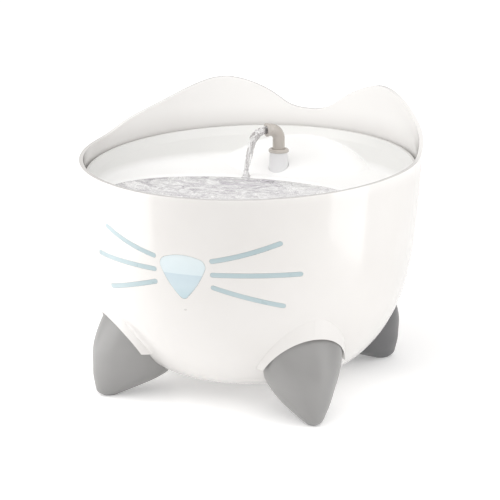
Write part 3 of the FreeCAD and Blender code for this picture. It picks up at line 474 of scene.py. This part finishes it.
def ripple(x, y):
    """Height of the water's surface over its level: rings from the landing stream, and a chop over all."""
    far = (Vector((x, y)) - LANDING).length
    rings = RING_HEIGHT * math.sin(far * RING_PITCH) * math.exp(-far / RING_FADE)
    broad = noise.noise(Vector((x * 0.11, y * 0.16, 3.0))) * 0.42
    fine = noise.noise(Vector((x * 0.31, y * 0.4, 8.0))) * 0.2
    return rings + (broad + fine) * (0.35 + 0.65 * math.exp(-far / CHOP_FADE))


def oval(half_width, half_length, step):
    angle = 2 * math.pi * step / WATER_AROUND
    return half_width * math.cos(angle), BASIN_CENTRE + half_length * math.sin(angle)


def make_water(material):
    """Standing water in the basin: a rippled top over a bottom that follows the basin."""
    bottom = DISH_FLOOR - BASIN_DEPTH + WATER_CLEAR
    top_width, top_length = basin_size(WATER_LEVEL)
    low_width, low_length = basin_size(bottom)
    verts = [(0.0, BASIN_CENTRE, WATER_LEVEL + ripple(0.0, BASIN_CENTRE))]
    for ring in range(1, WATER_RINGS + 1):
        share = ring / WATER_RINGS
        calm = min(1.0, (1.0 - share) * 8.0)
        for step in range(WATER_AROUND):
            x, y = oval(top_width * share, top_length * share, step)
            verts.append((x, y, WATER_LEVEL + ripple(x, y) * calm))
    for step in range(WATER_AROUND):
        x, y = oval(low_width, low_length, step)
        verts.append((x, y, bottom))
    verts.append((0.0, BASIN_CENTRE, bottom))
    faces = []
    for step in range(WATER_AROUND):
        after = (step + 1) % WATER_AROUND
        faces.append((0, 1 + step, 1 + after))
        for ring in range(WATER_RINGS):
            near, far = 1 + ring * WATER_AROUND, 1 + (ring + 1) * WATER_AROUND
            faces.append((near + step, far + step, far + after, near + after))
        last = 1 + WATER_RINGS * WATER_AROUND
        faces.append((last + step, len(verts) - 1, last + after))
    add_mesh("water", verts, faces, material, "dish")


def lobed_tube(points, radii, around, wave, seed):
    """A closed tube of water along points, wider or flatter where the stream twists."""
    verts, faces = [], []
    for index, point in enumerate(points):
        before = points[max(index - 1, 0)]
        after = points[min(index + 1, len(points) - 1)]
        along = (after - before).normalized()
        side = along.cross(Vector((SPOUT_WAY.x, SPOUT_WAY.y, 0.35))).normalized()
        front = along.cross(side)
        wide, thick = radii[index]
        twist = index * STREAM_TWIST
        for step in range(around):
            angle = 2 * math.pi * step / around
            lobe = noise.noise(Vector((math.cos(angle) * 1.2, math.sin(angle) * 1.2, index * 0.35 + seed)))
            swell = 1.0 + wave * lobe
            sideways = side * math.cos(angle + twist) * wide * swell
            forwards = front * math.sin(angle + twist) * thick * swell
            verts.append(point + (sideways + forwards))
    count = len(points)
    for index in range(count - 1):
        for step in range(around):
            after = (step + 1) % around
            faces.append((index * around + step, index * around + after,
                          (index + 1) * around + after, (index + 1) * around + step))
    faces.append(tuple(range(around)))
    faces.append(tuple((count - 1) * around + step for step in range(around)))
    return verts, faces


def smooth_line(knots, steps):
    """Catmull-Rom line through knots, which may be of any length."""
    line = []
    ends = [knots[0]] + knots + [knots[-1]]
    for index in range(1, len(ends) - 2):
        a, b, c, d = [Vector(ends[index + k]) for k in (-1, 0, 1, 2)]
        for step in range(steps):
            t = step / steps
            line.append(0.5 * (2 * b + (c - a) * t + (2 * a - 5 * b + 4 * c - d) * t * t
                               + (3 * b - a - 3 * c + d) * t ** 3))
    line.append(Vector(ends[-2]))
    return line


def from_mouth(out, fall, side):
    """A point by how far it is from the spout's mouth: outwards, down and to the side."""
    across = Vector((SPOUT_WAY.y, -SPOUT_WAY.x))
    spot = SPOUT_AXIS + SPOUT_WAY * (MOUTH_REACH + out) + across * side
    return (spot.x, spot.y, MOUTH_HEIGHT - fall)


def add_stream(name, rows, body, material, around, wave, seed):
    line = smooth_line([from_mouth(out, fall, side) for out, fall, side, _, _ in rows], STREAM_STEPS)
    sizes = smooth_line([Vector((wide, thick, 0)) for _, _, _, wide, thick in rows], STREAM_STEPS)
    verts, faces = lobed_tube(line, [(size[0], size[1]) for size in sizes], around, wave, seed)
    add_mesh(name, verts, faces, material, body)


def make_streams(material):
    """Water that leaves the spout, turns over and falls to the basin, with a thin strand beside it."""
    add_stream("stream", STREAM, "spout", material, around=20, wave=0.55, seed=2.0)
    add_stream("strand", STRAND, "spout", material, around=14, wave=0.4, seed=9.0)
    add_stream("splash", SPLASH, "dish", material, around=20, wave=0.4, seed=5.0)


def stretched_noise(tree, scale, detail, rough, distortion):
    """Noise with its own scale along each axis."""
    mapping = tree.nodes.new("ShaderNodeMapping")
    mapping.inputs["Scale"].default_value = scale
    tree.links.new(place(tree), mapping.inputs["Vector"])
    texture = tree.nodes.new("ShaderNodeTexNoise")
    texture.inputs["Scale"].default_value = 1.0
    texture.inputs["Detail"].default_value = detail
    texture.inputs["Roughness"].default_value = rough
    texture.inputs["Distortion"].default_value = distortion
    tree.links.new(mapping.outputs["Vector"], texture.inputs["Vector"])
    return texture.outputs["Fac"]


def water_material():
    """Clear water over white plastic: painted lilac-grey reflections in folds where the surface bends,
    fading out to the right as a painted highlight.
    """
    material, tree, shader = new_material("water")
    shader.inputs["Roughness"].default_value = 0.04
    shader.inputs["IOR"].default_value = WATER_IOR
    ripples_and_painted_creases = stretched_noise(tree, (46.0, 84.0, 60.0), detail=2.6, rough=0.5, distortion=1.9)
    # painted reflection: lilac-grey folds in the base colour
    tree.links.new(ramp(tree, ripples_and_painted_creases, (0.66, 0.635, 0.68), (1.0, 1.0, 1.0), 0.44, 0.52),
                   shader.inputs["Base Color"])
    fold = tree.nodes.new("ShaderNodeMath")
    fold.operation = "PINGPONG"
    fold.inputs[1].default_value = CREASE_REFLECTION_WIDTH
    tree.links.new(ripples_and_painted_creases, fold.inputs[0])
    cover = in_range(tree, fold.outputs["Value"], 0.0, CREASE_REFLECTION_WIDTH, 0.7, 0.22)
    # painted highlight: the folds fade out to the right
    calm = in_range(tree, axis_of(tree, "X"), HIGHLIGHT_FADE_START, HIGHLIGHT_FADE_END, 1.0, 0.35)
    tree.links.new(product(tree, cover, calm), shader.inputs["Alpha"])
    bump(tree, shader, ripples_and_painted_creases, 0.6, 0.0012)
    return material


def stream_material():
    """Falling water: painted grey reflections at its edges and folds, bright and nearly clear in the
    middle.
    """
    material, tree, shader = new_material("falling_water")
    shader.inputs["Roughness"].default_value = 0.05
    shader.inputs["IOR"].default_value = WATER_IOR
    ripples_and_painted_streaks = stretched_noise(tree, (420.0, 420.0, 70.0), detail=3.0, rough=0.5, distortion=0.8)
    # painted reflection: grey streaks in the base colour
    tree.links.new(ramp(tree, ripples_and_painted_streaks, (0.42, 0.4, 0.4), (0.97, 0.97, 0.98), 0.42, 0.56),
                   shader.inputs["Base Color"])
    facing = tree.nodes.new("ShaderNodeLayerWeight")
    facing.inputs["Blend"].default_value = 0.45
    cover = in_range(tree, facing.outputs["Facing"], 0.0, 0.8, 0.3, 0.95)
    tree.links.new(cover, shader.inputs["Alpha"])
    bump(tree, shader, ripples_and_painted_streaks, 0.6, 0.0006)
    return material


make_camera()
make_lights()
materials = make_materials()
paint_nodes(materials)
make_floor()
make_water(water_material())
make_streams(stream_material())
